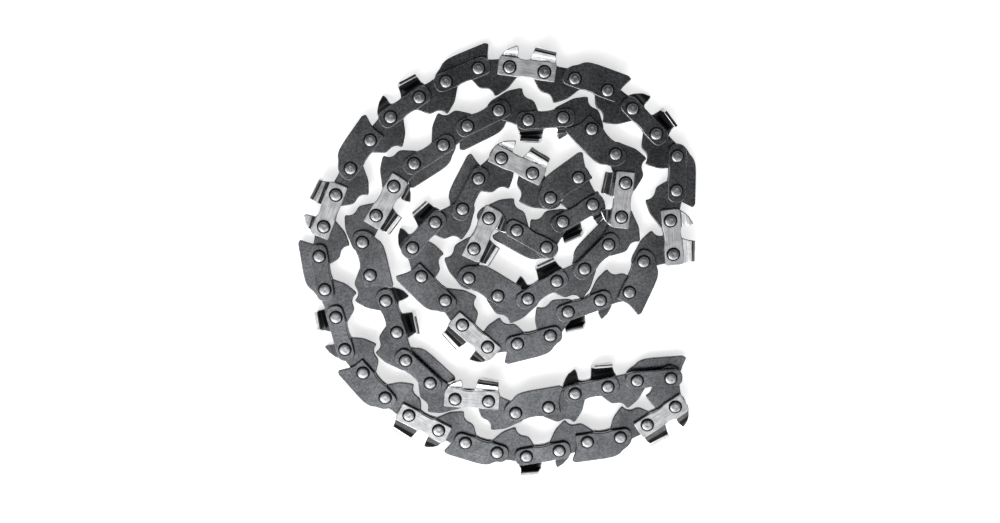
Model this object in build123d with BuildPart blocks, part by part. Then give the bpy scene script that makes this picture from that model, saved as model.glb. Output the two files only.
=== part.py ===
from build123d import *
import os
from math import asin, cos, degrees, radians, sin, tan

# A closed loop of low profile saw chain, lying on its side in a flat coil.
# Lengths are in millimetres. Each link is drawn in its own frame: X runs back along the chain,
# from the leading rivet to the trailing one, +Y is the cutting side, and +Z is the left side.
# Rivets, holes and round ends have few facets, because the loop repeats them so often.

# Rivet spacing
PITCH = 9.525  # half of the span over three rivets
SIDE_SPACING = 10.08  # between the two rivets of a cutter or strap
DRIVE_SPACING = 2 * PITCH - SIDE_SPACING

# Sheet and fits
GAUGE = 1.27  # thickness of a drive link
STRAP_THICKNESS = 1.15
KERF = 6.4  # over the corners of a left and a right cutter
SIDE_GAP = 0.05  # drive link to strap
HUB_GAP = 0.04  # round the hub, for the drive link to turn
HOLE_GAP = 0.02  # round the shank, in a strap

# Rivets
HUB_DIAMETER = 4.3
SHANK_DIAMETER = 3.0
HEAD_DIAMETER = 4.1
HEAD_TOP_DIAMETER = 2.75
HEAD_HEIGHT = 0.65

# Facets of round forms
HEAD_SIDES = 8
HOLE_SIDES = 6  # of holes, and of the hubs and shanks in them
FACET_ANGLE = 30  # of each step round the end of a link

# Foot that cutters and straps share: flat lower edge, shallow arch over the bar rail
END_RADIUS = 3.6
SQUARE_REACH = 8.4  # of the square ends of cutters and bumper straps, from the middle of the link
SQUARE_CORNER = 0.45
FOOT_DEPTH = 2.55
ARCH_WIDTH = 5.2
ARCH_RISE = 0.35
STRAP_TOP = 2.75

# Bumper strap: a fin that rises behind its leading ramp and overhangs at the rear
FIN_TOP = 6.05
FIN_RAMP = (-5.2, 4.25)
FIN_SHOULDER = (-4.3, 5.15)
FIN_SWELL = (-2.6, 5.85)
FIN_CREST = 0.3
FIN_REAR = 9.3
FIN_TIP = (10.4, 5.35)
FIN_HEEL = (9.0, 2.6)
FIN_RAMP_ANGLE = 118
FIN_HEEL_RISE = 0.9  # where the square end leans out to the fin's heel

# Cutter: one sheet, with a depth gauge in front, a gullet, and a tooth that folds over the chain
BODY_TOP = 3.05
GULLET_LOW = 2.75
RAKER_BACK = -3.1
RAKER_CROWN = 6.0
RAKER_TIP = (-3.7, 6.45)
RAKER_BROW = (-5.8, 5.6)
RAKER_FOOT = (-7.7, 3.7)
RAKER_SET = 1.2  # how far the depth gauge stands out from the sheet
RAKER_JOGGLE = (3.45, 4.35)  # heights between which it is set out
TOOTH_ROOT = 0.45
TOOTH_FRONT = 1.2
TOOTH_THROAT = 4.9
TOOTH_REAR = 7.75
TOOTH_TOP = 7.2  # at the cutting edge
TOOTH_FALL = 0.65  # drop of the top plate towards its rear
TOOTH_JOGGLE = (3.15, 4.45)
TOP_PLATE = 1.0
TOP_REACH = 0.5  # past the middle of the chain
TOP_CORNER = 0.6
SIDE_RELIEF = 0.2  # how far the tooth draws in towards its rear
FILE_ANGLE = 20
CHEEK_RISE = 2.3  # top of the foot's square ends

# Drive link: a saddle between its rivets, and a tang with a hooked toe that leads
DRIVE_TOP = 2.5
SADDLE_TOP = 2.35
TANG_SHOULDER_ANGLE = 42
TANG_CHEEK = (-5.1, -5.05)
TANG_CHIN = (-4.55, -5.6)
TANG_THROAT = (-3.8, -5.85)
TANG_HOOK = (-2.0, -5.95)
TANG_CURL = (-0.95, -6.6)
TANG_TOE = (-0.3, -7.75)
TANG_TIP = (0.05, -8.1)
TANG_HEEL = (0.6, -7.95)
TANG_BACK = (3.75, -6.25)
TANG_REAR = (6.15, -3.45)

# Order of the side links round the loop
ROUND = ("left_cutter", "left_bumper_strap", "right_cutter", "right_bumper_strap")
SEQUENCE = ROUND * 9 + ("right_bumper_strap",) + ROUND * 2

# The lay: the way each link points, in degrees, side link and drive link in turn
LAY_ANGLES = (
    # outer run, from the open end clockwise to the right-hand edge
    (214, 206, 188, 198, 190, 172, 162, 154, 152, 142, 130, 126, 104, 110, 98, 80),
    (68, 60, 54, 48, 34, 30, 22, 2, 352, 348, 340, 324, 314, 314, 270, 260, 276),
    # inward, round the lower middle and up to the fold
    (194, 246, 196, 200, 234, 194, 186, 138, 124, 134, 106, 48, 26, 62, 42, 334, 306),
    # the fold, the innermost turn, and out again
    (36, 298, 210, 238, 150, 156, 244, 260, 328, 354, 32, 24, 46, 66, 84, 110, 134),
    # inner run, back beside the outer one to the open end
    (158, 184, 162, 206, 218, 212, 228, 238, 242, 282, 300, 288, 286, 316, 326, 356),
    (336, 10, 28, 12, 12, 4, 280),
)
CLOSING_ROUNDS = 12

# Heights in the stack of a link, from the middle of the chain
shoulder = GAUGE / 2 + SIDE_GAP
plate_face = shoulder + STRAP_THICKNESS
head_face = plate_face + HEAD_HEIGHT
corner_face = KERF / 2
foot_angle = degrees(asin(FOOT_DEPTH / END_RADIUS))
strap_angle = degrees(asin(STRAP_TOP / END_RADIUS))
drive_angle = degrees(asin(DRIVE_TOP / END_RADIUS))
rivets_of_side = ((-SIDE_SPACING / 2, 0), (SIDE_SPACING / 2, 0))
rivets_of_drive = ((-DRIVE_SPACING / 2, 0), (DRIVE_SPACING / 2, 0))


def round_end(rivet_point, start, stop):
    """Give the points of a link's round end, about its rivet, from one angle to another."""
    x, y = rivet_point
    steps = round(abs(stop - start) / FACET_ANGLE)
    turns = [radians(start + (stop - start) * step / steps) for step in range(steps + 1)]
    return [(x + END_RADIUS * cos(turn), y + END_RADIUS * sin(turn)) for turn in turns]


def square_end(side, rise):
    """Give the points of a foot's square end, from its top down; side is 1 at the rear, -1 in front."""
    return [
        (side * SQUARE_REACH, rise),
        (side * SQUARE_REACH, SQUARE_CORNER - FOOT_DEPTH),
        (side * (SQUARE_REACH - SQUARE_CORNER), -FOOT_DEPTH),
    ]


def punch(places, diameter):
    """Cut the rivet holes from the open sketch."""
    with Locations(*places):
        RegularPolygon(diameter / 2, HOLE_SIDES, major_radius=False, mode=Mode.SUBTRACT)


def draw_tooth(top, face):
    """Draw the tooth's folded section: the sheet, its joggle outwards, the side and the top plate."""
    low, high = TOOTH_JOGGLE
    inner = face - STRAP_THICKNESS
    Polyline(
        (0, shoulder),
        (low, shoulder),
        (high, inner),
        (top - TOP_PLATE, inner),
        (top - TOP_PLATE, -TOP_REACH),
        (top, -TOP_REACH),
        (top, face - TOP_CORNER),
        (top - TOP_CORNER, face),
        (high, face),
        (low, plate_face),
        (0, plate_face),
        close=True,
    )


# Rivet: a hub that the drive link turns on, shanks in the straps, and spun heads
with BuildPart() as rivet:
    with BuildSketch():
        RegularPolygon(HUB_DIAMETER / 2, HOLE_SIDES)
    extrude(amount=shoulder)
    with BuildSketch(Plane.XY.offset(shoulder)):
        RegularPolygon(SHANK_DIAMETER / 2, HOLE_SIDES)
    extrude(amount=STRAP_THICKNESS)
    with BuildSketch(Plane.XY.offset(plate_face)):
        RegularPolygon(HEAD_DIAMETER / 2, HEAD_SIDES)
    with BuildSketch(Plane.XY.offset(head_face)):
        RegularPolygon(HEAD_TOP_DIAMETER / 2, HEAD_SIDES)
    loft(ruled=True)
    mirror(about=Plane.XY)

# Drive link
with BuildPart() as drive_link:
    front, rear = rivets_of_drive
    with BuildSketch():
        with BuildLine():
            Polyline(
                *round_end(rear, drive_angle, -TANG_SHOULDER_ANGLE),
                TANG_REAR,
                TANG_BACK,
                TANG_HEEL,
                TANG_TIP,
                TANG_TOE,
                TANG_CURL,
                TANG_HOOK,
                TANG_THROAT,
                TANG_CHIN,
                TANG_CHEEK,
                *round_end(front, 180 + TANG_SHOULDER_ANGLE, 180 - drive_angle),
                (0, SADDLE_TOP),
                close=True,
            )
        make_face()
        punch(rivets_of_drive, HUB_DIAMETER + 2 * HUB_GAP)
    extrude(amount=GAUGE / 2, both=True)

front, rear = rivets_of_side
arch = (
    (ARCH_WIDTH / 2, -FOOT_DEPTH),
    (0, ARCH_RISE - FOOT_DEPTH),
    (-ARCH_WIDTH / 2, -FOOT_DEPTH),
)

# Tie strap of the left side
with BuildPart() as left_tie:
    with BuildSketch(Plane.XY.offset(shoulder)):
        with BuildLine():
            Polyline(
                *round_end(rear, strap_angle, -foot_angle),
                *arch,
                *round_end(front, 180 + foot_angle, 180 - strap_angle),
                close=True,
            )
        make_face()
        punch(rivets_of_side, SHANK_DIAMETER + 2 * HOLE_GAP)
    extrude(amount=STRAP_THICKNESS)

# Bumper strap of the left side
with BuildPart() as left_bumper:
    with BuildSketch(Plane.XY.offset(shoulder)):
        with BuildLine():
            Polyline(
                *square_end(1, FIN_HEEL_RISE),
                *arch,
                *round_end(front, 180 + foot_angle, FIN_RAMP_ANGLE),
                FIN_RAMP,
                FIN_SHOULDER,
                FIN_SWELL,
                (FIN_CREST, FIN_TOP),
                (FIN_REAR, FIN_TOP),
                FIN_TIP,
                FIN_HEEL,
                close=True,
            )
        make_face()
        punch(rivets_of_side, SHANK_DIAMETER + 2 * HOLE_GAP)
    extrude(amount=STRAP_THICKNESS)

# Cutter of the left side: the bent sheet first, then its outline
with BuildPart() as left_cutter:
    with BuildSketch(Plane.XY.offset(shoulder)):
        with BuildLine():
            Polyline(
                (-SQUARE_REACH, -FOOT_DEPTH),
                (SQUARE_REACH, -FOOT_DEPTH),
                (SQUARE_REACH, BODY_TOP),
                (-SQUARE_REACH, BODY_TOP),
                close=True,
            )
        make_face()
    extrude(amount=STRAP_THICKNESS)

    with BuildSketch(Plane.YZ.offset(RAKER_BACK)):
        low, high = RAKER_JOGGLE
        tip_height = RAKER_TIP[1]
        with BuildLine():
            Polyline(
                (0, shoulder),
                (low, shoulder),
                (high, shoulder + RAKER_SET),
                (tip_height, shoulder + RAKER_SET),
                (tip_height, plate_face + RAKER_SET),
                (high, plate_face + RAKER_SET),
                (low, plate_face),
                (0, plate_face),
                close=True,
            )
        make_face()
    extrude(amount=-(SQUARE_REACH + RAKER_BACK))

    ahead = (TOOTH_FRONT - TOOTH_ROOT) / (TOOTH_REAR - TOOTH_FRONT)
    with BuildSketch(Plane.YZ.offset(TOOTH_ROOT)):
        with BuildLine():
            draw_tooth(TOOTH_TOP + ahead * TOOTH_FALL, corner_face + ahead * SIDE_RELIEF)
        make_face()
    with BuildSketch(Plane.YZ.offset(TOOTH_REAR)):
        with BuildLine():
            draw_tooth(TOOTH_TOP - TOOTH_FALL, corner_face - SIDE_RELIEF)
        make_face()
    loft(ruled=True)

    with BuildSketch(Plane.XY.offset(-corner_face)):
        with BuildLine():
            Polyline(
                (TOOTH_REAR, TOOTH_TOP),
                (TOOTH_REAR, TOOTH_JOGGLE[1]),
                *square_end(1, CHEEK_RISE),
                *arch,
                *reversed(square_end(-1, CHEEK_RISE)),
                RAKER_FOOT,
                RAKER_BROW,
                RAKER_TIP,
                (RAKER_BACK, RAKER_CROWN),
                (RAKER_BACK, BODY_TOP),
                ((TOOTH_ROOT + RAKER_BACK) / 2, GULLET_LOW),
                (TOOTH_ROOT, BODY_TOP),
                (TOOTH_FRONT, TOOTH_THROAT),
                (TOOTH_FRONT, TOOTH_TOP),
                close=True,
            )
        make_face()
        punch(rivets_of_side, SHANK_DIAMETER + 2 * HOLE_GAP)
    extrude(amount=KERF, mode=Mode.INTERSECT)

    with BuildSketch(Plane.XZ.offset(-TOOTH_THROAT)):
        width = corner_face + TOP_REACH
        with BuildLine():
            Polyline(
                (TOOTH_FRONT, corner_face),
                (TOOTH_FRONT + width * tan(radians(FILE_ANGLE)), -TOP_REACH),
                (RAKER_BACK, -TOP_REACH),
                (RAKER_BACK, corner_face),
                close=True,
            )
        make_face()
    extrude(amount=-(TOOTH_TOP - TOOTH_THROAT), mode=Mode.SUBTRACT)

# The right side is the left one mirrored
with BuildPart() as right_tie:
    mirror(left_tie.part, about=Plane.XY)

with BuildPart() as right_bumper:
    mirror(left_bumper.part, about=Plane.XY)

with BuildPart() as right_cutter:
    mirror(left_cutter.part, about=Plane.XY)


def close_loop(headings, lengths):
    """Turn the links by a hair, shared over all of them, until the last rivet meets the first."""
    turns = [radians(heading) for heading in headings]
    for _ in range(CLOSING_ROUNDS):
        east = [length * cos(turn) for length, turn in zip(lengths, turns)]
        north = [length * sin(turn) for length, turn in zip(lengths, turns)]
        gap_x, gap_y = sum(east), sum(north)
        xx = sum(n * n for n in north)
        yy = sum(e * e for e in east)
        xy = -sum(e * n for e, n in zip(east, north))
        scale = xx * yy - xy * xy
        push_x = (yy * gap_x - xy * gap_y) / scale
        push_y = (xx * gap_y - xy * gap_x) / scale
        turns = [t + n * push_x - e * push_y for t, e, n in zip(turns, east, north)]
    return turns


def place_links(headings):
    """Give the rivet points and each link's place, in loop order."""
    lengths = [SIDE_SPACING, DRIVE_SPACING] * (len(headings) // 2)
    points, places = [], []
    at = Vector(0, 0, 0)
    for turn, length in zip(close_loop(headings, lengths), lengths):
        step = Vector(length * cos(turn), length * sin(turn), 0)
        points.append(at)
        places.append(Location(at + step * 0.5, (0, 0, degrees(turn))))
        at = at + step
    return points, places


headings = [heading for stretch in LAY_ANGLES for heading in stretch]
points, places = place_links(headings)
side_places, drive_places = places[0::2], places[1::2]

# Which plate stands on each side of every side link
left_plates = {"left_cutter": left_cutter, "left_bumper_strap": left_bumper}
right_plates = {"right_cutter": right_cutter, "right_bumper_strap": right_bumper}
plates = []
for kind, place in zip(SEQUENCE, side_places):
    plates.append(left_plates.get(kind, left_tie).part.moved(place))
    plates.append(right_plates.get(kind, right_tie).part.moved(place))

# The origin is under the middle of the coil, on the surface that it lies on
box = Compound(plates + [drive_link.part.moved(place) for place in drive_places]).bounding_box()
to_origin = Location((-box.center().X, -box.center().Y, -box.min.Z))
side_places = [to_origin * place for place in side_places]
drive_places = [to_origin * place for place in drive_places]
rivet_places = [to_origin * Location(point) for point in points]

os.makedirs("parts", exist_ok=True)

# Cutters and bumper straps, one by one, numbered in loop order
numbers = {}
for kind, place in zip(SEQUENCE, side_places):
    numbers[kind] = numbers.get(kind, 0) + 1
    plate = {**left_plates, **right_plates}[kind]
    with BuildPart() as piece:
        with Locations(place):
            add(plate.part)
    piece.part.label = f"{kind}_{numbers[kind]:02d}"
    export_step(piece.part, f"parts/{piece.part.label}.step")

# Tie straps stand across from them
with BuildPart() as left_tie_straps:
    with Locations(*[p for kind, p in zip(SEQUENCE, side_places) if kind in right_plates]):
        add(left_tie.part)
left_tie_straps.part.label = "left_tie_straps"
export_step(left_tie_straps.part, "parts/left_tie_straps.step")

with BuildPart() as right_tie_straps:
    with Locations(*[p for kind, p in zip(SEQUENCE, side_places) if kind in left_plates]):
        add(right_tie.part)
right_tie_straps.part.label = "right_tie_straps"
export_step(right_tie_straps.part, "parts/right_tie_straps.step")

with BuildPart() as drive_links:
    with Locations(*drive_places):
        add(drive_link.part)
drive_links.part.label = "drive_links"
export_step(drive_links.part, "parts/drive_links.step")

with BuildPart() as rivets:
    with Locations(*rivet_places):
        add(rivet.part)
rivets.part.label = "rivets"
export_step(rivets.part, "parts/rivets.step")
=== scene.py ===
import math

import bmesh
import bpy
from mathutils import Matrix, Vector


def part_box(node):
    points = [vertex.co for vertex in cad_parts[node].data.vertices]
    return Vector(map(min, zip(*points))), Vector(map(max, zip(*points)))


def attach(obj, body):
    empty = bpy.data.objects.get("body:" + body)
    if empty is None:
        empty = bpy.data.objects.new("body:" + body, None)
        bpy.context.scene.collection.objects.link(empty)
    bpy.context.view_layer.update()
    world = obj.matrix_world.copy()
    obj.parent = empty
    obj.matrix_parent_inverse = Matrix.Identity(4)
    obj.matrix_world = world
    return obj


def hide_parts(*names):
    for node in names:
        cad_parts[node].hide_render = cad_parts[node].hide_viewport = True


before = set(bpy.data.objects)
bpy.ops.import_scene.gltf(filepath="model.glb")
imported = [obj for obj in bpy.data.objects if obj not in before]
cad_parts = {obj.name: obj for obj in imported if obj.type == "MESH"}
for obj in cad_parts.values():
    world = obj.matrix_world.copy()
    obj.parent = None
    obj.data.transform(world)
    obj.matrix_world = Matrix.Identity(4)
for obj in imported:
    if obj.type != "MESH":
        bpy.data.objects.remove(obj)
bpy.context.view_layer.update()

bl_info = {
    "name": "Saw chain loop",
    "version": (1, 0, 0),
    "blender": (4, 5, 0),
    "location": "View3D > Sidebar > Saw chain",
    "description": "Dresses a coiled loop of saw chain: cutters, straps, drive links and rivets",
    "category": "Object",
}

MM = 0.001
BLACK = (0, 0, 0, 1)
WHITE = (1, 1, 1, 1)

# Rivet spacing, as in the part's source, in millimetres
SIDE_SPACING = 10.08
DRIVE_SPACING = 8.97

# Order of the side links round the loop, with one more bumper strap where it was joined
ROUND = ("left_cutter", "left_bumper_strap", "right_cutter", "right_bumper_strap")
SEQUENCE = ROUND * 9 + ("right_bumper_strap",) + ROUND * 2

# The lay: the way each link points, in degrees, side link and drive link in turn
LAY_ANGLES = (
    # outer run, from the open end clockwise to the right-hand edge
    (214, 206, 188, 198, 190, 172, 162, 154, 152, 142, 130, 126, 104, 110, 98, 80),
    (68, 60, 54, 48, 34, 30, 22, 2, 352, 348, 340, 324, 314, 314, 270, 260, 276),
    # inward, round the lower middle and up to the fold
    (194, 246, 196, 200, 234, 194, 186, 138, 124, 134, 106, 48, 26, 62, 42, 334, 306),
    # the fold, the innermost turn, and out again
    (36, 298, 210, 238, 150, 156, 244, 260, 328, 354, 32, 24, 46, 66, 84, 110, 134),
    # inner run, back beside the outer one to the open end
    (158, 184, 162, 206, 218, 212, 228, 238, 242, 282, 300, 288, 286, 316, 326, 356),
    (336, 10, 28, 12, 12, 4, 280),
)
CLOSING_ROUNDS = 12

# Outlines in the link's own frame, in millimetres: x, y and the length of edge that the rounding takes.
# X runs back along the chain, and +Y is the cutting side.
ARCH = ((2.6, -2.55, 0.6), (1.2, -2.2, 0.5), (-1.2, -2.2, 0.5), (-2.6, -2.55, 0.6))
TIE_OUTLINE = (
    (8.6, 2.75, 2.3), (8.6, -2.55, 2.2), *ARCH, (-8.6, -2.55, 2.2), (-8.6, 2.75, 2.3),
)
BUMPER_OUTLINE = (
    (9.0, 2.6, 0.5), (8.4, 0.9, 0.5), (8.4, -2.55, 0.5), *ARCH, (-8.55, -2.55, 2.0), (-8.6, 1.7, 1.6),
    (-6.9, 3.25, 0.6), (-5.2, 4.25, 0.5), (-4.3, 5.15, 0.5), (-2.6, 5.85, 0.8), (0.3, 6.05, 0.8),
    (9.4, 6.05, 0.4), (10.4, 5.35, 0.4),
)
DRIVE_OUTLINE = (
    (8.08, 2.5, 2.2), (8.08, -1.4, 1.5), (6.15, -3.45, 0.6), (3.75, -6.25, 1.0), (0.65, -8.0, 0.3),
    (-0.1, -8.12, 0.25), (-0.75, -6.75, 0.5), (-1.9, -5.95, 0.6), (-4.2, -5.85, 0.6), (-5.1, -5.05, 0.4),
    (-8.08, -1.4, 1.5), (-8.08, 2.5, 2.2), (-2.2, 2.5, 0.6), (0.0, 2.35, 0.8), (2.2, 2.5, 0.6),
)
CUTTER_OUTLINE = (
    (8.05, 3.1, 0), (8.4, 2.2, 0.4), (8.4, -2.55, 0.5), *ARCH, (-8.4, -2.55, 0.5), (-8.4, 2.2, 0.6),
    (-7.75, 3.4, 0), (-3.1, 3.4, 0), (-2.5, 2.95, 0.3), (-1.3, 2.75, 0.4), (-0.1, 2.85, 0.4),
    (0.5, 3.1, 0),
)
TOOTH_ROOT = (14, 0)  # the corners of CUTTER_OUTLINE that the tooth rises between
RAKER_ROOT = (9, 10)  # the corners that the depth gauge rises between

# Rows of the bent sheet above the foot: height and set-out in front, how far both fall to the rear,
# the front and rear ends, and whether the sheet is flat up to the row or bends
RAKER_ROWS = (
    (3.55, 0.05, 0, 0, -7.62, -3.1, False), (4.25, 0.7, 0, 0, -7.08, -3.1, True),
    (4.5, 0.87, 0, 0, -6.85, -3.1, False), (4.75, 0.96, 0, 0, -6.6, -3.1, False),
    (5.5, 1.1, 0, 0, -5.85, -3.15, True), (6.2, 1.2, 0, 0, -4.45, -3.3, True),
    (6.45, 1.23, 0, 0, -3.95, -3.6, True),
)
TOOTH_ROWS = (
    (3.25, 0.05, 0.05, 0, 0.55, 8.0, False), (4.25, 0.95, 0.15, 0.05, 0.87, 7.87, True),
    (4.5, 1.1, 0.28, 0.09, 0.96, 7.84, False), (4.78, 1.18, 0.4, 0.13, 1.06, 7.8, False),
    (5.6, 1.37, 0.65, 0.2, 1.2, 7.75, True), (5.78, 1.36, 0.65, 0.2, 1.24, 7.75, False),
    (5.93, 1.27, 0.65, 0.2, 1.28, 7.75, False), (6.02, 1.12, 0.65, 0.2, 1.34, 7.75, False),
    (6.05, 0.95, 0.65, 0.2, 1.42, 7.75, False), (6.05, -1.18, 0.65, 0.2, 2.35, 7.75, True),
)
JOGGLE_TOP = 5.0  # up to this height the sheet is thickened straight up, and above it square to its bends

# Half of a rivet's turned profile, in millimetres: radius and height above the middle of the chain
RIVET_PROFILE = (
    (0, 2.45), (0.5, 2.455), (1.22, 2.48), (1.38, 2.43), (1.98, 1.94), (2.07, 1.87), (2.07, 1.835),
    (1.5, 1.835), (1.5, 0.685), (2.15, 0.685),
)
RIVET_STEPS = 24
MERGE_DISTANCE = 0.01  # points of a turned profile on its axis fall together
HOLE_RADIUS = 1.52
HUB_HOLE_RADIUS = 2.19
HOLE_STEPS = 12
EDGE_STEPS = 2
SMALL_CORNER_STEPS = 3
LARGE_CORNER_STEPS = 5
LARGE_ROUNDING = 1.0  # a corner from this size on is drawn in more steps
SHARP_ANGLE = 50
BOX_ALLOWANCE = 0.6  # how far a piece may stand from its solid's box

# Blued steel: the size of its clouds and grit in millimetres. Between two strengths of the clouds, its
# colour goes from a deep to a pale share.
BLUED_CLOUDS = 12
BLUED_GRIT = 0.6
BLUED_STOPS = (0.15, 0.36)
BLUED_SHARES = (0.55, 1.45)
BLUED_ROUGHNESS = (0.2, 0.33)

# Chromed steel: the width of its streaks in millimetres and as a share of their length, its clouds, and
# its tones as above. It is satin below the first of two heights and glossy above the second, and its
# streaks and its bare inside are rougher.
CHROME_STREAKS = 0.35
STREAK_SLENDERNESS = 0.08
CHROME_CLOUDS = 2.5
CHROME_STOPS = (0.16, 0.33)
CHROME_SHARES = (0.62, 1)
SATIN_HEIGHTS = (2.7, 3.05)
SATIN_ROUGHNESS = (0.46, 0.07)
STREAK_ROUGHNESS = 0.12
BARE_ROUGHNESS = 0.2

# Spun steel: the size of its smears and the spacing of its grooves in millimetres, its tones as above, and
# the radii between which the bright top turns into the dark ring of painted shade on the head's flank
SPUN_SMEARS = 0.9
SPUN_GROOVES = 0.3
SPUN_STOPS = (0.36, 0.58)
SPUN_SHARES = (0.6, 1)
SPUN_SHADE_RING = (1.48, 1.6)
SPUN_ROUGHNESS = 0.27

# The sky, bright low in the south: how far its brightest point leans from straight up and turns from south
# to west, in degrees, the cosines from there between which it darkens, and its strength in the dark and
# in the bright part
SKY_LEAN = 72
SKY_TURN = 14
SKY_EDGE = (0.365, 0.58)
SKY_LEVELS = (0.03, 1.3)

# A faint ring of light round the studio: where it starts, is full from and to, and ends, as the sine of
# its height
RING_OF_LIGHT = (0.25, 0.42, 0.62, 0.85)
RING_STRENGTH = 0.27

# The softbox, in metres and watts, and the floor
SOFTBOX_SIZE = (0.7, 0.5)
SOFTBOX_PLACE = (-0.35, -0.75, 0.75)
SOFTBOX_POWER = 6.0
FLOOR_STEPS = 64
FLOOR_GLOW = 0.6

# The photo's camera, fitted to the rivets: in pixels, millimetres and degrees
IMAGE_WIDTH = 1000
FOCAL_PIXELS = 1233
SENSOR_WIDTH = 36
NEAREST_SEEN = 10
EYE = (0.95, 63.9, 363.5)
EYE_TURNS = (-9.84, -0.03, -0.14)


def hex_linear(text):
    """Turn an sRGB hex colour into linear RGB."""
    shares = [int(text[start:start + 2], 16) / 255 for start in (1, 3, 5)]
    return tuple(
        share / 12.92 if share <= 0.04045 else ((share + 0.055) / 1.055) ** 2.4 for share in shares
    )


class SawChainSizes(bpy.types.PropertyGroup):
    """Sizes of the chain that can't be seen in its outlines."""

    gauge: bpy.props.FloatProperty(
        name="Gauge", description="Thickness of a drive link",
        default=1.27 * MM, unit="LENGTH", precision=5,
    )
    strap_thickness: bpy.props.FloatProperty(
        name="Strap", description="Thickness of straps and cutters",
        default=1.15 * MM, unit="LENGTH", precision=5,
    )
    side_gap: bpy.props.FloatProperty(
        name="Side gap", description="Drive link to strap",
        default=0.05 * MM, unit="LENGTH", precision=5,
    )
    edge_radius: bpy.props.FloatProperty(
        name="Edge radius", description="Rounding that tumbling gives to punched edges",
        default=0.25 * MM, unit="LENGTH", precision=5,
    )
    floor_size: bpy.props.FloatProperty(
        name="Floor", description="Radius of the pale floor", default=4.0, unit="LENGTH"
    )


class SawChainColours(bpy.types.PropertyGroup):
    """Colours of the chain's finishes and of the floor."""

    cutter: bpy.props.FloatVectorProperty(
        name="Cutter", description="Hard-chromed cutter steel",
        default=hex_linear("#D5D6D8"), subtype="COLOR",
    )
    # Bare steel inside a cutter, painted much darker than bare steel to stand in for the shade in the
    # cutter's hollow
    bare_and_shade: bpy.props.FloatVectorProperty(
        name="Cutter inside", description="Bare steel inside a cutter",
        default=hex_linear("#4C4D4F"), subtype="COLOR",
    )
    strap: bpy.props.FloatVectorProperty(
        name="Strap", description="Blued strap steel",
        default=hex_linear("#77797C"), subtype="COLOR",
    )
    drive: bpy.props.FloatVectorProperty(
        name="Drive link", description="Blued drive link steel",
        default=hex_linear("#6E7073"), subtype="COLOR",
    )
    rivet: bpy.props.FloatVectorProperty(
        name="Rivet", description="Spun rivet steel",
        default=hex_linear("#C0C1C3"), subtype="COLOR",
    )
    # The rivet ring is painted shade: a dark band on the head's flank, which is the same steel as the top
    ring: bpy.props.FloatVectorProperty(
        name="Rivet ring", description="Blued ring round a rivet's top",
        default=hex_linear("#303133"), subtype="COLOR",
    )
    floor: bpy.props.FloatVectorProperty(
        name="Floor", description="Pale studio floor",
        default=hex_linear("#FAFAFA"), subtype="COLOR",
    )


# The lay of the chain

def close_loop(headings, lengths):
    """Turn the links by a hair, shared over all of them, until the last rivet meets the first."""
    turns = [math.radians(heading) for heading in headings]
    for _ in range(CLOSING_ROUNDS):
        easts = [length * math.cos(turn) for length, turn in zip(lengths, turns)]
        norths = [length * math.sin(turn) for length, turn in zip(lengths, turns)]
        # The smallest turns that take up the gap, by least squares
        xx = sum(north * north for north in norths)
        yy = sum(east * east for east in easts)
        xy = -sum(east * north for east, north in zip(easts, norths))
        scale = xx * yy - xy * xy
        push_x = (yy * sum(easts) - xy * sum(norths)) / scale
        push_y = (xx * sum(norths) - xy * sum(easts)) / scale
        steps = zip(turns, easts, norths)
        turns = [turn + north * push_x - east * push_y for turn, east, north in steps]
    return turns


def lay_chain():
    """Give the places of side links, drive links and rivets, set on the solids' own rivets."""
    headings = [heading for stretch in LAY_ANGLES for heading in stretch]
    lengths = [SIDE_SPACING * MM, DRIVE_SPACING * MM] * (len(headings) // 2)
    turns = close_loop(headings, lengths)
    points = [Vector((0, 0, 0))]
    for turn, length in zip(turns, lengths):
        points.append(points[-1] + Vector((length * math.cos(turn), length * math.sin(turn), 0)))
    points.pop()
    low = Vector(min(point[axis] for point in points) for axis in range(3))
    high = Vector(max(point[axis] for point in points) for axis in range(3))
    shift = Matrix.Translation(sum(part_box("rivets"), Vector()) / 2 - (low + high) / 2)
    links = []
    for point, turn, length in zip(points, turns, lengths):
        middle = point + Vector((length / 2 * math.cos(turn), length / 2 * math.sin(turn), 0))
        links.append(shift @ Matrix.Translation(middle) @ Matrix.Rotation(turn, 4, "Z"))
    return links[0::2], links[1::2], [shift @ Matrix.Translation(point) for point in points]


# Shaping punched sheet

def draw_outline(bm, corners, spacing, hole_radius):
    """Fill an outline round its two rivet holes and give the points that its corners had."""
    points = [bm.verts.new((x * MM, y * MM, 0)) for x, y, _ in corners]
    bm.faces.new(points)
    for point, (_, _, rounding) in zip(points, corners):
        if rounding:
            bmesh.ops.bevel(
                bm, geom=[point], offset=rounding * MM, offset_type="OFFSET", affect="VERTICES",
                segments=LARGE_CORNER_STEPS if rounding >= LARGE_ROUNDING else SMALL_CORNER_STEPS,
                profile=0.5, clamp_overlap=True, material=-1,
            )
    bmesh.ops.delete(bm, geom=bm.faces[:], context="FACES_ONLY")
    for x in (-spacing / 2, spacing / 2):
        bmesh.ops.create_circle(
            bm, segments=HOLE_STEPS, radius=hole_radius * MM, matrix=Matrix.Translation((x * MM, 0, 0))
        )
    bmesh.ops.triangle_fill(bm, use_beauty=True, edges=bm.edges[:], normal=(0, 0, 1))
    if not bm.faces:
        raise RuntimeError("an outline could not be filled")
    for face in bm.faces:
        if face.normal.z < 0:
            face.normal_flip()
        face.smooth = False
    return points


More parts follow.
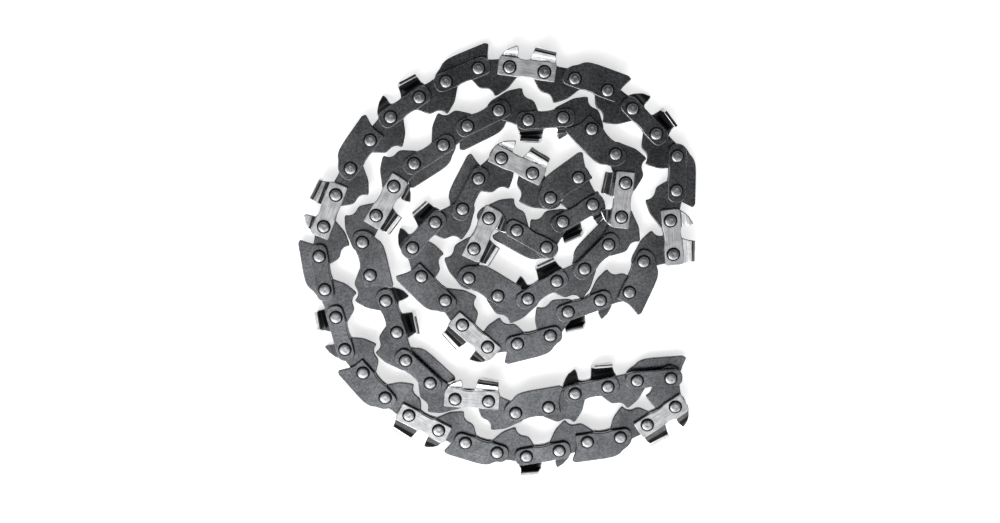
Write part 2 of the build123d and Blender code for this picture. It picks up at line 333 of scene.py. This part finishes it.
def pull_rows(bm, root, rows):
    """Extrude a root edge of the sheet row by row along its bends, and mark the rows that stay flat."""
    straight = bm.faces.layers.bool.get("straight") or bm.faces.layers.bool.new("straight")
    edge = bm.edges.get(root)
    for height, set_out, drop, draw_in, front, rear, flat in rows:
        pulled = bmesh.ops.extrude_edge_only(bm, edges=[edge])["geom"]
        new = [item for item in pulled if isinstance(item, bmesh.types.BMVert)]
        new.sort(key=lambda point: point.co.x)
        new[0].co = Vector((front, height, set_out)) * MM
        new[1].co = Vector((rear, height - drop, set_out - draw_in)) * MM
        edge = bm.edges.get(new)
        for face in edge.link_faces:
            face.smooth = True
            face[straight] = flat


def thicken(bm, thickness):
    """Give the open sheet its thickness, out of its face side, and return both skins."""
    bm.normal_update()
    lift = bm.verts.layers.float_vector.new("lift")
    for point in bm.verts:
        if point.co.y > JOGGLE_TOP * MM:
            point[lift] = thickness * (point.normal * point.calc_shell_factor())
        else:
            point[lift] = thickness * Vector((0, 0, 1))
    inner = bm.faces[:]
    sheet = bm.verts[:] + bm.edges[:] + inner
    grown = bmesh.ops.extrude_face_region(bm, geom=sheet, use_keep_orig=True)["geom"]
    for item in grown:
        if isinstance(item, bmesh.types.BMVert):
            item.co += item[lift]
    outer = [item for item in grown if isinstance(item, bmesh.types.BMFace)]
    bm.verts.layers.float_vector.remove(lift)
    return inner, outer


def roll_edges(bm, skin, radius):
    """Round off the rim of a skin, as tumbling does to punched sheet."""
    bm.normal_update()
    for step in range(EDGE_STEPS):
        low = math.radians(90 * step / EDGE_STEPS)
        high = math.radians(90 * (step + 1) / EDGE_STEPS)
        inwards = radius * (math.cos(low) - math.cos(high))
        outwards = radius * (math.sin(high) - math.sin(low))
        rim = bmesh.ops.inset_region(
            bm, faces=skin, use_boundary=True, use_even_offset=True, thickness=inwards, depth=outwards
        )["faces"]
        bm.normal_update()
        for face in rim:
            face.smooth = True


def finish_sheet(bm, thickness, radius, height):
    """Thicken a drawn sheet, roll its edges, and lift it to its height above the middle of the chain."""
    inside = bm.faces.layers.float.new("inside")
    inner, outer = thicken(bm, thickness - 2 * radius)
    skins = set(inner + outer)
    for face in bm.faces:
        if face not in skins:
            face.smooth = True
    roll_edges(bm, outer, radius)
    roll_edges(bm, inner, radius)
    # The foot is brought level first, and only then do the flat rows of the tooth count as flat
    for skin, level, side in ((inner, -radius, 1), (outer, thickness - radius, 0)):
        for face in skin:
            face[inside] = side
            if not face.smooth:
                for point in face.verts:
                    point.co.z = level
    straight = bm.faces.layers.bool.get("straight")
    if straight:
        for face in inner + outer:
            face.smooth = face.smooth and not face[straight]
        bm.faces.layers.bool.remove(straight)
    bmesh.ops.translate(bm, verts=bm.verts[:], vec=(0, 0, height + radius))
    bmesh.ops.recalc_face_normals(bm, faces=bm.faces[:])
    return bm


def side_height(sizes):
    """Height of a side plate's inner face above the middle of the chain."""
    return sizes.gauge / 2 + sizes.side_gap


def make_strap(corners, sizes):
    """Model a left strap: a flat plate with two rivet holes."""
    bm = bmesh.new()
    draw_outline(bm, corners, SIDE_SPACING, HOLE_RADIUS)
    return finish_sheet(bm, sizes.strap_thickness, sizes.edge_radius, side_height(sizes))


def make_cutter(sizes):
    """Model a left cutter: foot, depth gauge, and the tooth that folds over the chain."""
    bm = bmesh.new()
    points = draw_outline(bm, CUTTER_OUTLINE, SIDE_SPACING, HOLE_RADIUS)
    pull_rows(bm, [points[i] for i in RAKER_ROOT], RAKER_ROWS)
    pull_rows(bm, [points[i] for i in TOOTH_ROOT], TOOTH_ROWS)
    return finish_sheet(bm, sizes.strap_thickness, sizes.edge_radius, side_height(sizes))


def make_drive_link(sizes):
    """Model a drive link: a plate in the middle of the chain, with a hooked tang and two hub holes."""
    bm = bmesh.new()
    draw_outline(bm, DRIVE_OUTLINE, DRIVE_SPACING, HUB_HOLE_RADIUS)
    return finish_sheet(bm, sizes.gauge, sizes.edge_radius, -sizes.gauge / 2)


def make_rivet():
    """Turn a rivet: a hub between two shanks and two spun heads."""
    bm = bmesh.new()
    profile = [*RIVET_PROFILE, *((radius, -height) for radius, height in reversed(RIVET_PROFILE))]
    points = [bm.verts.new((radius * MM, 0, height * MM)) for radius, height in profile]
    edges = [bm.edges.new(pair) for pair in zip(points, points[1:])]
    bmesh.ops.spin(
        bm, geom=points + edges, cent=(0, 0, 0), axis=(0, 0, 1),
        angle=math.tau, steps=RIVET_STEPS, use_merge=True,
    )
    bmesh.ops.remove_doubles(bm, verts=bm.verts[:], dist=MERGE_DISTANCE * MM)
    bmesh.ops.recalc_face_normals(bm, faces=bm.faces[:])
    for face in bm.faces:
        face.smooth = True
    return bm


def turn_over(bm):
    """Give the right-hand twin of a left-hand link."""
    twin = bm.copy()
    bmesh.ops.scale(twin, vec=(1, 1, -1), verts=twin.verts[:])
    bmesh.ops.reverse_faces(twin, faces=twin.faces[:])
    return twin


def set_pieces(name, node, blank, places, material):
    """Set copies of a modelled link at their places, as one piece that stands for a solid's node."""
    layers = blank.verts.layers.float_vector
    own_place = layers.get("own_place") or layers.new("own_place")
    for point in blank.verts:
        point[own_place] = point.co
    pattern = bpy.data.meshes.new("blank")
    blank.to_mesh(pattern)
    bm = bmesh.new()
    for place in places:
        known = len(bm.verts)
        bm.from_mesh(pattern)
        bm.verts.ensure_lookup_table()
        bmesh.ops.transform(bm, matrix=place, verts=bm.verts[known:])
    mesh = bpy.data.meshes.new(name)
    bm.to_mesh(mesh)
    bm.free()
    bpy.data.meshes.remove(pattern)
    # Marking the sharp edges smooths every face, so the flat ones are put back
    rounded = [face.use_smooth for face in mesh.polygons]
    mesh.set_sharp_from_angle(angle=math.radians(SHARP_ANGLE))
    mesh.polygons.foreach_set("use_smooth", rounded)
    mesh.materials.append(material)
    piece = bpy.data.objects.new(name, mesh)
    bpy.context.scene.collection.objects.link(piece)
    # Large faces lead the shading, so that rolled edges don't tint them
    piece.modifiers.new("even_shading", "WEIGHTED_NORMAL").keep_sharp = True
    for axis in range(3):
        reach = [point.co[axis] for point in mesh.vertices]
        solid = [corner[axis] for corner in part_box(node)]
        if max(abs(min(reach) - solid[0]), abs(max(reach) - solid[1])) > BOX_ALLOWANCE * MM:
            raise RuntimeError(f"{name} does not lie where {node} does: {min(reach)} {max(reach)} {solid}")
    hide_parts(node)
    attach(piece, "root")


def set_numbered(kind, finish_word, blank, places, material):
    """Set one piece for each numbered node of a kind of side link, in their order round the loop."""
    own_places = [place for link, place in zip(SEQUENCE, places) if link == kind]
    for number, place in enumerate(own_places, 1):
        node = f"{kind}_{number:02d}"
        set_pieces(f"{node}_{finish_word}", node, blank, [place], material)


# Finishes

def feed(tree, node, inputs):
    """Set a node's inputs, or link those whose value is the output of another node."""
    for socket, value in inputs.items():
        if isinstance(value, bpy.types.NodeSocket):
            tree.links.new(value, node.inputs[socket])
        else:
            node.inputs[socket].default_value = value


def add_node(tree, kind, inputs=None, **settings):
    """Add a shader node, set its fields, and set or link its inputs."""
    node = tree.nodes.new(kind)
    for field, value in settings.items():
        setattr(node, field, value)
    feed(tree, node, inputs or {})
    return node


def new_finish(name):
    """Start a material and give its node tree and its Principled shader."""
    material = bpy.data.materials.new(name)
    material.use_nodes = True
    tree = material.node_tree
    return material, tree, tree.nodes["Principled BSDF"]


def per_metre(size_mm):
    """Noise scale that gives marks of a real size in millimetres."""
    return 1 / (size_mm * MM)


def toned(colour, share=1):
    """Give a share of a colour, with no light past white and nothing seen through it."""
    return (*(min(1, part * share) for part in colour), 1)


def blued_steel(name, colour):
    """Blued sheet steel: a thin dark oxide, cloudy from the bath, over tumbled metal with a satin gloss."""
    material, tree, shader = new_finish(name)
    at = add_node(tree, "ShaderNodeTexCoord").outputs["Object"]
    clouds = add_node(
        tree, "ShaderNodeTexNoise",
        {"Vector": at, "Scale": per_metre(BLUED_CLOUDS), "Detail": 6.0, "Roughness": 0.62},
    ).outputs["Fac"]
    grit = add_node(
        tree, "ShaderNodeTexNoise",
        {"Vector": at, "Scale": per_metre(BLUED_GRIT), "Detail": 3.0, "Roughness": 0.7},
    ).outputs["Fac"]
    both = add_node(tree, "ShaderNodeMath", {0: clouds, 1: grit}, operation="MULTIPLY").outputs["Value"]
    tone = add_node(tree, "ShaderNodeValToRGB", {"Fac": both})
    for stop, position, share in zip(tone.color_ramp.elements, BLUED_STOPS, BLUED_SHARES):
        stop.position = position
        stop.color = toned(colour, share)
    gloss = add_node(
        tree, "ShaderNodeMapRange",
        {"Value": grit, "To Min": BLUED_ROUGHNESS[0], "To Max": BLUED_ROUGHNESS[1]},
    )
    bump = add_node(tree, "ShaderNodeBump", {"Height": grit, "Strength": 0.12, "Distance": 0.1 * MM})
    feed(tree, shader, {
        "Base Color": tone.outputs["Color"], "Roughness": gloss.outputs["Result"],
        "Normal": bump.outputs["Normal"], "Metallic": 1.0,
    })
    return material


def chromed_steel(name, colour, bare_and_shade_colour):
    """Hard-chromed sheet steel: bright outside with faint streaks along the link, bare inside, and painted
    dark there as shade.
    """
    material, tree, shader = new_finish(name)
    own = add_node(tree, "ShaderNodeAttribute", attribute_name="own_place").outputs["Vector"]
    at = add_node(tree, "ShaderNodeTexCoord").outputs["Object"]
    along = add_node(tree, "ShaderNodeMapping", {"Vector": own, "Scale": (STREAK_SLENDERNESS, 1.0, 1.0)})
    streaks = add_node(
        tree, "ShaderNodeTexNoise",
        {
            "Vector": along.outputs["Vector"], "Scale": per_metre(CHROME_STREAKS),
            "Detail": 3.0, "Roughness": 0.6,
        },
    ).outputs["Fac"]
    clouds = add_node(
        tree, "ShaderNodeTexNoise", {"Vector": at, "Scale": per_metre(CHROME_CLOUDS), "Detail": 3.0}
    ).outputs["Fac"]
    both = add_node(tree, "ShaderNodeMath", {0: streaks, 1: clouds}, operation="MULTIPLY").outputs["Value"]
    chrome = add_node(tree, "ShaderNodeValToRGB", {"Fac": both})
    for stop, position, share in zip(chrome.color_ramp.elements, CHROME_STOPS, CHROME_SHARES):
        stop.position = position
        stop.color = toned(colour, share)
    # The inside skin takes the bare colour, darkened as painted shade for the tooth's hollow
    inside = add_node(tree, "ShaderNodeAttribute", attribute_name="inside").outputs["Fac"]
    skin = add_node(
        tree, "ShaderNodeMix", {0: inside, 6: chrome.outputs["Color"], 7: toned(bare_and_shade_colour)},
        data_type="RGBA",
    )
    height = add_node(tree, "ShaderNodeSeparateXYZ", {"Vector": own}).outputs["Y"]
    satin = add_node(
        tree, "ShaderNodeMapRange",
        {
            "Value": height, "From Min": SATIN_HEIGHTS[0] * MM, "From Max": SATIN_HEIGHTS[1] * MM,
            "To Min": SATIN_ROUGHNESS[0], "To Max": SATIN_ROUGHNESS[1],
        },
    )
    gloss = add_node(
        tree, "ShaderNodeMath", {0: streaks, 1: STREAK_ROUGHNESS, 2: satin.outputs["Result"]},
        operation="MULTIPLY_ADD",
    )
    dull = add_node(
        tree, "ShaderNodeMath", {0: inside, 1: BARE_ROUGHNESS, 2: gloss.outputs["Value"]},
        operation="MULTIPLY_ADD",
    )
    bump = add_node(tree, "ShaderNodeBump", {"Height": streaks, "Strength": 0.04, "Distance": 0.1 * MM})
    feed(tree, shader, {
        "Base Color": skin.outputs[2], "Roughness": dull.outputs["Value"],
        "Normal": bump.outputs["Normal"], "Metallic": 1.0,
    })
    return material


def spun_steel(name, colour, shade_ring_colour):
    """Spun rivet steel: a bright top rubbed in rings by the spinning tool, in a thin dark ring of painted
    shade.
    """
    material, tree, shader = new_finish(name)
    own = add_node(tree, "ShaderNodeAttribute", attribute_name="own_place").outputs["Vector"]
    flat = add_node(tree, "ShaderNodeVectorMath", {0: own, 1: (1, 1, 0)}, operation="MULTIPLY")
    radius = add_node(
        tree, "ShaderNodeVectorMath", {0: flat.outputs["Vector"]}, operation="LENGTH"
    ).outputs["Value"]
    # Past these radii the head's flank is painted dark as shade
    ring = add_node(
        tree, "ShaderNodeMapRange",
        {"Value": radius, "From Min": SPUN_SHADE_RING[0] * MM, "From Max": SPUN_SHADE_RING[1] * MM},
    )
    at = add_node(tree, "ShaderNodeTexCoord").outputs["Object"]
    smears = add_node(
        tree, "ShaderNodeTexNoise", {"Vector": at, "Scale": per_metre(SPUN_SMEARS), "Detail": 3.0}
    )
    top = add_node(tree, "ShaderNodeValToRGB", {"Fac": smears.outputs["Fac"]})
    for stop, position, share in zip(top.color_ramp.elements, SPUN_STOPS, SPUN_SHARES):
        stop.position = position
        stop.color = toned(colour, share)
    tone = add_node(
        tree, "ShaderNodeMix", {0: ring.outputs["Result"], 6: top.outputs["Color"], 7: toned(shade_ring_colour)},
        data_type="RGBA",
    )
    turns = add_node(
        tree, "ShaderNodeMath", {0: radius, 1: math.tau * per_metre(SPUN_GROOVES)}, operation="MULTIPLY"
    )
    grooves = add_node(
        tree, "ShaderNodeMath", {0: turns.outputs["Value"]}, operation="SINE"
    ).outputs["Value"]
    bump = add_node(tree, "ShaderNodeBump", {"Height": grooves, "Strength": 0.15, "Distance": 0.05 * MM})
    feed(tree, shader, {
        "Base Color": tone.outputs[2], "Roughness": SPUN_ROUGHNESS,
        "Normal": bump.outputs["Normal"], "Metallic": 1.0,
    })
    return material


def pale_floor(colour):
    """Pale matt floor: white to the eye and in the steel, and still darker in the chain's shadow."""
    material, tree, shader = new_finish("pale_floor")
    seen = add_node(tree, "ShaderNodeLightPath").outputs
    camera_or_glossy = add_node(
        tree, "ShaderNodeMath", {0: seen["Is Camera Ray"], 1: seen["Is Glossy Ray"]}, operation="MAXIMUM"
    )
    any_sight = add_node(
        tree, "ShaderNodeMath", {0: camera_or_glossy.outputs["Value"], 1: seen["Is Transmission Ray"]},
        operation="MAXIMUM",
    )
    glow = add_node(
        tree, "ShaderNodeMath", {0: any_sight.outputs["Value"], 1: FLOOR_GLOW}, operation="MULTIPLY"
    )
    feed(tree, shader, {
        "Base Color": toned(colour), "Roughness": 0.9, "Specular IOR Level": 0.0,
        "Emission Color": WHITE, "Emission Strength": glow.outputs["Value"],
    })
    return material


# The studio

def lay_floor(scene, radius, colour):
    """Lay a round, pale floor under the chain."""
    bm = bmesh.new()
    bmesh.ops.create_circle(bm, cap_ends=True, segments=FLOOR_STEPS, radius=radius)
    mesh = bpy.data.meshes.new("floor")
    bm.to_mesh(mesh)
    bm.free()
    mesh.materials.append(pale_floor(colour))
    floor = bpy.data.objects.new("floor", mesh)
    scene.collection.objects.link(floor)


def light_studio(scene):
    """Soft studio light: a sky that is bright low in the south and dark overhead, with a faint ring of
    light all round for the other sides, and one softbox."""
    world = bpy.data.worlds.new("studio")
    scene.world = world
    world.use_nodes = True
    tree = world.node_tree
    way = add_node(tree, "ShaderNodeTexCoord").outputs["Generated"]
    lean = math.radians(SKY_LEAN)
    turn = math.radians(SKY_TURN)
    towards = (-math.sin(lean) * math.sin(turn), -math.sin(lean) * math.cos(turn), math.cos(lean))
    facing = add_node(tree, "ShaderNodeVectorMath", {0: way, 1: towards}, operation="DOT_PRODUCT")
    sky = add_node(
        tree, "ShaderNodeMapRange",
        {
            "Value": facing.outputs["Value"], "From Min": SKY_EDGE[0], "From Max": SKY_EDGE[1],
            "To Min": SKY_LEVELS[0], "To Max": SKY_LEVELS[1],
        },
        interpolation_type="SMOOTHSTEP",
    )
    height = add_node(tree, "ShaderNodeSeparateXYZ", {"Vector": way}).outputs["Z"]
    ring = add_node(tree, "ShaderNodeValToRGB", {"Fac": height})
    ring.color_ramp.interpolation = "EASE"
    stops = ring.color_ramp.elements
    start, full_from, full_to, end = RING_OF_LIGHT
    stops[0].position = start
    stops[1].position = end
    stops[1].color = BLACK
    stops.new(full_from).color = WHITE
    stops.new(full_to).color = WHITE
    light = add_node(
        tree, "ShaderNodeMath", {0: ring.outputs["Color"], 1: RING_STRENGTH, 2: sky.outputs["Result"]},
        operation="MULTIPLY_ADD",
    )
    feed(tree, tree.nodes["Background"], {"Color": WHITE, "Strength": light.outputs["Value"]})

    softbox = bpy.data.lights.new("softbox", "AREA")
    softbox.shape = "RECTANGLE"
    softbox.size, softbox.size_y = SOFTBOX_SIZE
    softbox.energy = SOFTBOX_POWER
    lamp = bpy.data.objects.new("softbox", softbox)
    lamp.location = SOFTBOX_PLACE
    lamp.rotation_euler = (-lamp.location).to_track_quat("-Z", "Y").to_euler()
    scene.collection.objects.link(lamp)


def set_camera(scene):
    """Set the camera where the photo was taken from, and show its colours as they are."""
    camera = bpy.data.objects.new("camera", bpy.data.cameras.new("camera"))
    camera.data.sensor_width = SENSOR_WIDTH
    camera.data.lens = FOCAL_PIXELS / IMAGE_WIDTH * SENSOR_WIDTH
    camera.data.clip_start = NEAREST_SEEN * MM
    camera.location = Vector(EYE) * MM
    camera.rotation_euler = [math.radians(turn) for turn in EYE_TURNS]
    scene.collection.objects.link(camera)
    scene.camera = camera
    scene.view_settings.view_transform = "Standard"


# Operators

class SAWCHAIN_OT_cutters(bpy.types.Operator):
    """Model the left and right cutters"""

    bl_idname = "sawchain.cutters"
    bl_label = "Cutters"

    def execute(self, context):
        sizes, colours = context.scene.saw_chain_sizes, context.scene.saw_chain_colours
        sides, _, _ = lay_chain()
        finish = chromed_steel("hard_chromed_cutter_steel", colours.cutter, colours.bare_and_shade)
        left = make_cutter(sizes)
        for kind, blank in (("left_cutter", left), ("right_cutter", turn_over(left))):
            set_numbered(kind, "chromed", blank, sides, finish)
        return {"FINISHED"}


class SAWCHAIN_OT_bumper_straps(bpy.types.Operator):
    """Model the bumper straps with their fins"""

    bl_idname = "sawchain.bumper_straps"
    bl_label = "Bumper straps"

    def execute(self, context):
        sizes, colours = context.scene.saw_chain_sizes, context.scene.saw_chain_colours
        sides, _, _ = lay_chain()
        finish = blued_steel("blued_bumper_steel", colours.strap)
        left = make_strap(BUMPER_OUTLINE, sizes)
        for kind, blank in (("left_bumper_strap", left), ("right_bumper_strap", turn_over(left))):
            set_numbered(kind, "blued", blank, sides, finish)
        return {"FINISHED"}


class SAWCHAIN_OT_tie_straps(bpy.types.Operator):
    """Model the tie straps across from the cutters and bumper straps"""

    bl_idname = "sawchain.tie_straps"
    bl_label = "Tie straps"

    def execute(self, context):
        sizes, colours = context.scene.saw_chain_sizes, context.scene.saw_chain_colours
        sides, _, _ = lay_chain()
        finish = blued_steel("blued_tie_strap_steel", colours.strap)
        left = make_strap(TIE_OUTLINE, sizes)
        for side, across, blank in (("left", "right", left), ("right", "left", turn_over(left))):
            places = [place for link, place in zip(SEQUENCE, sides) if link.startswith(across)]
            node = f"{side}_tie_straps"
            set_pieces(f"{node}_blued", node, blank, places, finish)
        return {"FINISHED"}


class SAWCHAIN_OT_drive_links(bpy.types.Operator):
    """Model the drive links with their hooked tangs"""

    bl_idname = "sawchain.drive_links"
    bl_label = "Drive links"

    def execute(self, context):
        sizes, colours = context.scene.saw_chain_sizes, context.scene.saw_chain_colours
        _, drives, _ = lay_chain()
        finish = blued_steel("blued_drive_link_steel", colours.drive)
        blank = make_drive_link(sizes)
        set_pieces("drive_links_blued", "drive_links", blank, drives, finish)
        return {"FINISHED"}


class SAWCHAIN_OT_rivets(bpy.types.Operator):
    """Turn the rivets with their spun heads"""

    bl_idname = "sawchain.rivets"
    bl_label = "Rivets"

    def execute(self, context):
        colours = context.scene.saw_chain_colours
        _, _, points = lay_chain()
        finish = spun_steel("spun_rivet_steel", colours.rivet, colours.ring)
        set_pieces("rivets_spun", "rivets", make_rivet(), points, finish)
        return {"FINISHED"}


class SAWCHAIN_OT_stage(bpy.types.Operator):
    """Set the pale floor, the soft studio light and the photo's camera"""

    bl_idname = "sawchain.stage"
    bl_label = "Stage"

    def execute(self, context):
        scene = context.scene
        lay_floor(scene, scene.saw_chain_sizes.floor_size, scene.saw_chain_colours.floor)
        light_studio(scene)
        set_camera(scene)
        return {"FINISHED"}


class SAWCHAIN_PT_panel(bpy.types.Panel):
    """Lists the pieces of the saw chain in the sidebar, with its sizes and colours"""

    bl_idname = "SAWCHAIN_PT_panel"
    bl_label = "Saw chain"
    bl_space_type = "VIEW_3D"
    bl_region_type = "UI"
    bl_category = "Saw chain"

    def draw(self, context):
        for operator in OPERATORS:
            self.layout.operator(operator.bl_idname)
        for group in (context.scene.saw_chain_sizes, context.scene.saw_chain_colours):
            for field in group.__annotations__:
                self.layout.prop(group, field)


OPERATORS = (
    SAWCHAIN_OT_cutters, SAWCHAIN_OT_bumper_straps, SAWCHAIN_OT_tie_straps, SAWCHAIN_OT_drive_links,
    SAWCHAIN_OT_rivets, SAWCHAIN_OT_stage,
)
CLASSES = (SawChainSizes, SawChainColours, *OPERATORS, SAWCHAIN_PT_panel)


def register():
    """Register the classes and hang their sizes and colours on the scene."""
    for item in CLASSES:
        bpy.utils.register_class(item)
    bpy.types.Scene.saw_chain_sizes = bpy.props.PointerProperty(type=SawChainSizes)
    bpy.types.Scene.saw_chain_colours = bpy.props.PointerProperty(type=SawChainColours)


def unregister():
    """Take the sizes, the colours and the classes away again."""
    del bpy.types.Scene.saw_chain_colours
    del bpy.types.Scene.saw_chain_sizes
    for item in reversed(CLASSES):
        bpy.utils.unregister_class(item)


def main():
    """Build the dressed chain."""
    register()
    bpy.ops.sawchain.cutters()
    bpy.ops.sawchain.bumper_straps()
    bpy.ops.sawchain.tie_straps()
    bpy.ops.sawchain.drive_links()
    bpy.ops.sawchain.rivets()
    bpy.ops.sawchain.stage()


if __name__ == "__main__":
    main()
